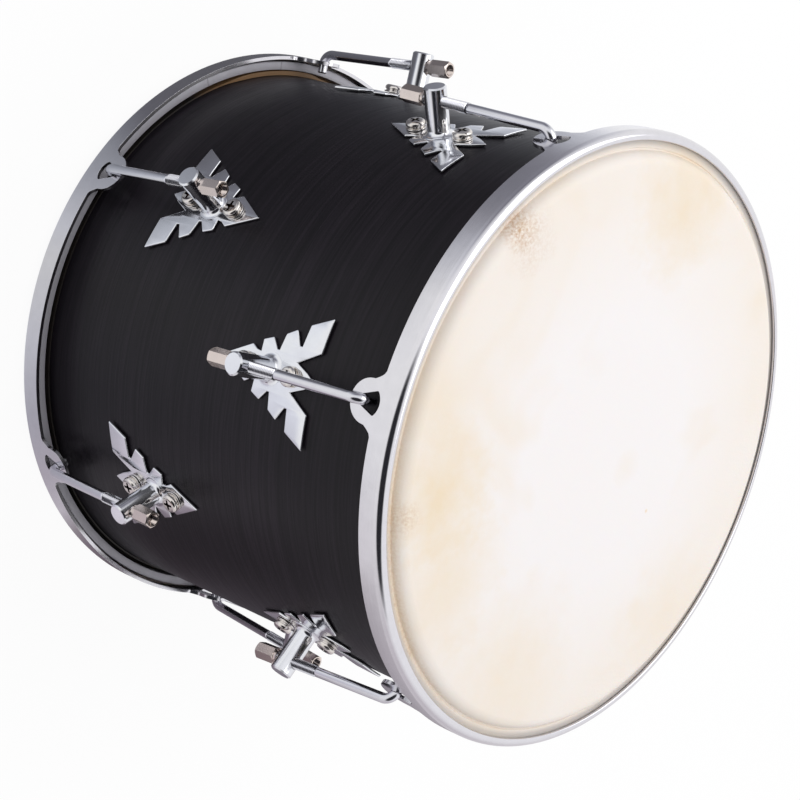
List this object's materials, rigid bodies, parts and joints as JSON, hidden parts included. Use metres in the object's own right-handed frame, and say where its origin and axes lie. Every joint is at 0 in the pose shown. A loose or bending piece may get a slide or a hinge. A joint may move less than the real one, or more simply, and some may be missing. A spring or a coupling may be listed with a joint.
{
  "type": "repinique drum",
  "caption": "Two-headed hand drum with a stained wooden shell, steel counter hoops and hook-rod tuning lugs.",
  "frame": {"origin": "centre of the lower head's playing face, which the drum stands on", "axes": "+Z along the drum's axis from the lower head to the upper; +X through an upper-head lug"},
  "size_m": [0.3592, 0.3592, 0.2779],
  "materials": {
    "shell_veneer": "satin black-stained veneer",
    "skin": "natural goat skin, cream with amber blotches",
    "ring_metal": "dull, butt-jointed",
    "hoop_steel": "satin plated steel",
    "lug_chrome": "bright chrome",
    "rod_chrome": "bright plated steel with a rolled thread",
    "nut_nickel": "warm nickel plate",
    "screw_nickel": "warm nickel plate"
  },
  "bodies": {
    "drum": {"shell": "shell_veneer", "top_skin": "skin", "bottom_skin": "skin", "top_flesh_hoop": "ring_metal", "bottom_flesh_hoop": "ring_metal", "top_lug_1": "lug_chrome", "top_lug_screws_1": "screw_nickel", "top_lug_2": "lug_chrome", "top_lug_screws_2": "screw_nickel", "top_lug_3": "lug_chrome", "top_lug_screws_3": "screw_nickel", "top_lug_4": "lug_chrome", "top_lug_screws_4": "screw_nickel", "top_lug_5": "lug_chrome", "top_lug_screws_5": "screw_nickel", "top_lug_6": "lug_chrome", "top_lug_screws_6": "screw_nickel", "bottom_lug_1": "lug_chrome", "bottom_lug_screws_1": "screw_nickel", "bottom_lug_2": "lug_chrome", "bottom_lug_screws_2": "screw_nickel", "bottom_lug_3": "lug_chrome", "bottom_lug_screws_3": "screw_nickel", "bottom_lug_4": "lug_chrome", "bottom_lug_screws_4": "screw_nickel", "bottom_lug_5": "lug_chrome", "bottom_lug_screws_5": "screw_nickel", "bottom_lug_6": "lug_chrome", "bottom_lug_screws_6": "screw_nickel"},
    "top_hoop": {"top_hoop": "hoop_steel"},
    "top_hook_rod_1": {"top_hook_rod_1": "rod_chrome"},
    "top_tuning_nut_1": {"top_tuning_nut_1": "nut_nickel"},
    "top_hook_rod_2": {"top_hook_rod_2": "rod_chrome"},
    "top_tuning_nut_2": {"top_tuning_nut_2": "nut_nickel"},
    "top_hook_rod_3": {"top_hook_rod_3": "rod_chrome"},
    "top_tuning_nut_3": {"top_tuning_nut_3": "nut_nickel"},
    "top_hook_rod_4": {"top_hook_rod_4": "rod_chrome"},
    "top_tuning_nut_4": {"top_tuning_nut_4": "nut_nickel"},
    "top_hook_rod_5": {"top_hook_rod_5": "rod_chrome"},
    "top_tuning_nut_5": {"top_tuning_nut_5": "nut_nickel"},
    "top_hook_rod_6": {"top_hook_rod_6": "rod_chrome"},
    "top_tuning_nut_6": {"top_tuning_nut_6": "nut_nickel"},
    "bottom_hoop": {"bottom_hoop": "hoop_steel"},
    "bottom_hook_rod_1": {"bottom_hook_rod_1": "rod_chrome"},
    "bottom_tuning_nut_1": {"bottom_tuning_nut_1": "nut_nickel"},
    "bottom_hook_rod_2": {"bottom_hook_rod_2": "rod_chrome"},
    "bottom_tuning_nut_2": {"bottom_tuning_nut_2": "nut_nickel"},
    "bottom_hook_rod_3": {"bottom_hook_rod_3": "rod_chrome"},
    "bottom_tuning_nut_3": {"bottom_tuning_nut_3": "nut_nickel"},
    "bottom_hook_rod_4": {"bottom_hook_rod_4": "rod_chrome"},
    "bottom_tuning_nut_4": {"bottom_tuning_nut_4": "nut_nickel"},
    "bottom_hook_rod_5": {"bottom_hook_rod_5": "rod_chrome"},
    "bottom_tuning_nut_5": {"bottom_tuning_nut_5": "nut_nickel"},
    "bottom_hook_rod_6": {"bottom_hook_rod_6": "rod_chrome"},
    "bottom_tuning_nut_6": {"bottom_tuning_nut_6": "nut_nickel"}
  },
  "joints": [
    {"name": "top_hoop_slide", "type": "slide", "parent": "drum", "child": "top_hoop", "axis": [0, 0, 1], "range_m": [0, 0.00299]},
    {"name": "top_nut_turn_1", "type": "hinge", "parent": "drum", "child": "top_tuning_nut_1", "pos_m": [0.1719, 0, 0.1806], "axis": [0.0518, 0.0363, -0.998], "range_deg": [0, 1080]},
    {"name": "top_rod_slide_1", "type": "slide", "parent": "drum", "child": "top_hook_rod_1", "axis": [-0.0518, -0.0363, 0.998], "range_m": [0, 0.003]},
    {"name": "top_nut_turn_2", "type": "hinge", "parent": "drum", "child": "top_tuning_nut_2", "pos_m": [0.08595, 0.14887, 0.1806], "axis": [-0.0055, 0.063, -0.998], "range_deg": [0, 1080]},
    {"name": "top_rod_slide_2", "type": "slide", "parent": "drum", "child": "top_hook_rod_2", "axis": [0.0055, -0.063, 0.998], "range_m": [0, 0.003]},
    {"name": "top_nut_turn_3", "type": "hinge", "parent": "drum", "child": "top_tuning_nut_3", "pos_m": [-0.08595, 0.14887, 0.1806], "axis": [-0.0573, 0.0267, -0.998], "range_deg": [0, 1080]},
    {"name": "top_rod_slide_3", "type": "slide", "parent": "drum", "child": "top_hook_rod_3", "axis": [0.0573, -0.0267, 0.998], "range_m": [0, 0.003]},
    {"name": "top_nut_turn_4", "type": "hinge", "parent": "drum", "child": "top_tuning_nut_4", "pos_m": [-0.1719, 0, 0.1806], "axis": [-0.0518, -0.0363, -0.998], "range_deg": [0, 1080]},
    {"name": "top_rod_slide_4", "type": "slide", "parent": "drum", "child": "top_hook_rod_4", "axis": [0.0518, 0.0363, 0.998], "range_m": [0, 0.003]},
    {"name": "top_nut_turn_5", "type": "hinge", "parent": "drum", "child": "top_tuning_nut_5", "pos_m": [-0.08595, -0.14887, 0.1806], "axis": [0.0055, -0.063, -0.998], "range_deg": [0, 1080]},
    {"name": "top_rod_slide_5", "type": "slide", "parent": "drum", "child": "top_hook_rod_5", "axis": [-0.0055, 0.063, 0.998], "range_m": [0, 0.003]},
    {"name": "top_nut_turn_6", "type": "hinge", "parent": "drum", "child": "top_tuning_nut_6", "pos_m": [0.08595, -0.14887, 0.1806], "axis": [0.0573, -0.0267, -0.998], "range_deg": [0, 1080]},
    {"name": "top_rod_slide_6", "type": "slide", "parent": "drum", "child": "top_hook_rod_6", "axis": [-0.0573, 0.0267, 0.998], "range_m": [0, 0.003]},
    {"name": "bottom_hoop_slide", "type": "slide", "parent": "drum", "child": "bottom_hoop", "axis": [0, 0, -1], "range_m": [0, 0.00299]},
    {"name": "bottom_nut_turn_1", "type": "hinge", "parent": "drum", "child": "bottom_tuning_nut_1", "pos_m": [0.14335, 0.09488, 0.0973], "axis": [0.0632, -0.0017, 0.998], "range_deg": [0, 1080]},
    {"name": "bottom_rod_slide_1", "type": "slide", "parent": "drum", "child": "bottom_hook_rod_1", "axis": [-0.0632, 0.0017, -0.998], "range_m": [0, 0.003]},
    {"name": "bottom_nut_turn_2", "type": "hinge", "parent": "drum", "child": "bottom_tuning_nut_2", "pos_m": [0.15384, -0.0767, 0.0973], "axis": [0.0302, -0.0556, 0.998], "range_deg": [0, 1080]},
    {"name": "bottom_rod_slide_2", "type": "slide", "parent": "drum", "child": "bottom_hook_rod_2", "axis": [-0.0302, 0.0556, -0.998], "range_m": [0, 0.003]},
    {"name": "bottom_nut_turn_3", "type": "hinge", "parent": "drum", "child": "bottom_tuning_nut_3", "pos_m": [0.01049, -0.17158, 0.0973], "axis": [-0.0331, -0.0539, 0.998], "range_deg": [0, 1080]},
    {"name": "bottom_rod_slide_3", "type": "slide", "parent": "drum", "child": "bottom_hook_rod_3", "axis": [0.0331, 0.0539, -0.998], "range_m": [0, 0.003]},
    {"name": "bottom_nut_turn_4", "type": "hinge", "parent": "drum", "child": "bottom_tuning_nut_4", "pos_m": [-0.14335, -0.09488, 0.0973], "axis": [-0.0632, 0.0017, 0.998], "range_deg": [0, 1080]},
    {"name": "bottom_rod_slide_4", "type": "slide", "parent": "drum", "child": "bottom_hook_rod_4", "axis": [0.0632, -0.0017, -0.998], "range_m": [0, 0.003]},
    {"name": "bottom_nut_turn_5", "type": "hinge", "parent": "drum", "child": "bottom_tuning_nut_5", "pos_m": [-0.15384, 0.0767, 0.0973], "axis": [-0.0302, 0.0556, 0.998], "range_deg": [0, 1080]},
    {"name": "bottom_rod_slide_5", "type": "slide", "parent": "drum", "child": "bottom_hook_rod_5", "axis": [0.0302, -0.0556, -0.998], "range_m": [0, 0.003]},
    {"name": "bottom_nut_turn_6", "type": "hinge", "parent": "drum", "child": "bottom_tuning_nut_6", "pos_m": [-0.01049, 0.17158, 0.0973], "axis": [0.0331, 0.0539, 0.998], "range_deg": [0, 1080]},
    {"name": "bottom_rod_slide_6", "type": "slide", "parent": "drum", "child": "bottom_hook_rod_6", "axis": [-0.0331, -0.0539, -0.998], "range_m": [0, 0.003]}
  ],
  "couplings": [
    {"joint": "top_nut_turn_1", "follows": "top_hoop_slide", "rad_per_m": 6295.8},
    {"joint": "top_rod_slide_1", "follows": "top_hoop_slide", "ratio": 1.002},
    {"joint": "top_nut_turn_2", "follows": "top_hoop_slide", "rad_per_m": 6295.8},
    {"joint": "top_rod_slide_2", "follows": "top_hoop_slide", "ratio": 1.002},
    {"joint": "top_nut_turn_3", "follows": "top_hoop_slide", "rad_per_m": 6295.8},
    {"joint": "top_rod_slide_3", "follows": "top_hoop_slide", "ratio": 1.002},
    {"joint": "top_nut_turn_4", "follows": "top_hoop_slide", "rad_per_m": 6295.8},
    {"joint": "top_rod_slide_4", "follows": "top_hoop_slide", "ratio": 1.002},
    {"joint": "top_nut_turn_5", "follows": "top_hoop_slide", "rad_per_m": 6295.8},
    {"joint": "top_rod_slide_5", "follows": "top_hoop_slide", "ratio": 1.002},
    {"joint": "top_nut_turn_6", "follows": "top_hoop_slide", "rad_per_m": 6295.8},
    {"joint": "top_rod_slide_6", "follows": "top_hoop_slide", "ratio": 1.002},
    {"joint": "bottom_nut_turn_1", "follows": "bottom_hoop_slide", "rad_per_m": 6295.8},
    {"joint": "bottom_rod_slide_1", "follows": "bottom_hoop_slide", "ratio": 1.002},
    {"joint": "bottom_nut_turn_2", "follows": "bottom_hoop_slide", "rad_per_m": 6295.8},
    {"joint": "bottom_rod_slide_2", "follows": "bottom_hoop_slide", "ratio": 1.002},
    {"joint": "bottom_nut_turn_3", "follows": "bottom_hoop_slide", "rad_per_m": 6295.8},
    {"joint": "bottom_rod_slide_3", "follows": "bottom_hoop_slide", "ratio": 1.002},
    {"joint": "bottom_nut_turn_4", "follows": "bottom_hoop_slide", "rad_per_m": 6295.8},
    {"joint": "bottom_rod_slide_4", "follows": "bottom_hoop_slide", "ratio": 1.002},
    {"joint": "bottom_nut_turn_5", "follows": "bottom_hoop_slide", "rad_per_m": 6295.8},
    {"joint": "bottom_rod_slide_5", "follows": "bottom_hoop_slide", "ratio": 1.002},
    {"joint": "bottom_nut_turn_6", "follows": "bottom_hoop_slide", "rad_per_m": 6295.8},
    {"joint": "bottom_rod_slide_6", "follows": "bottom_hoop_slide", "ratio": 1.002}
  ]
}
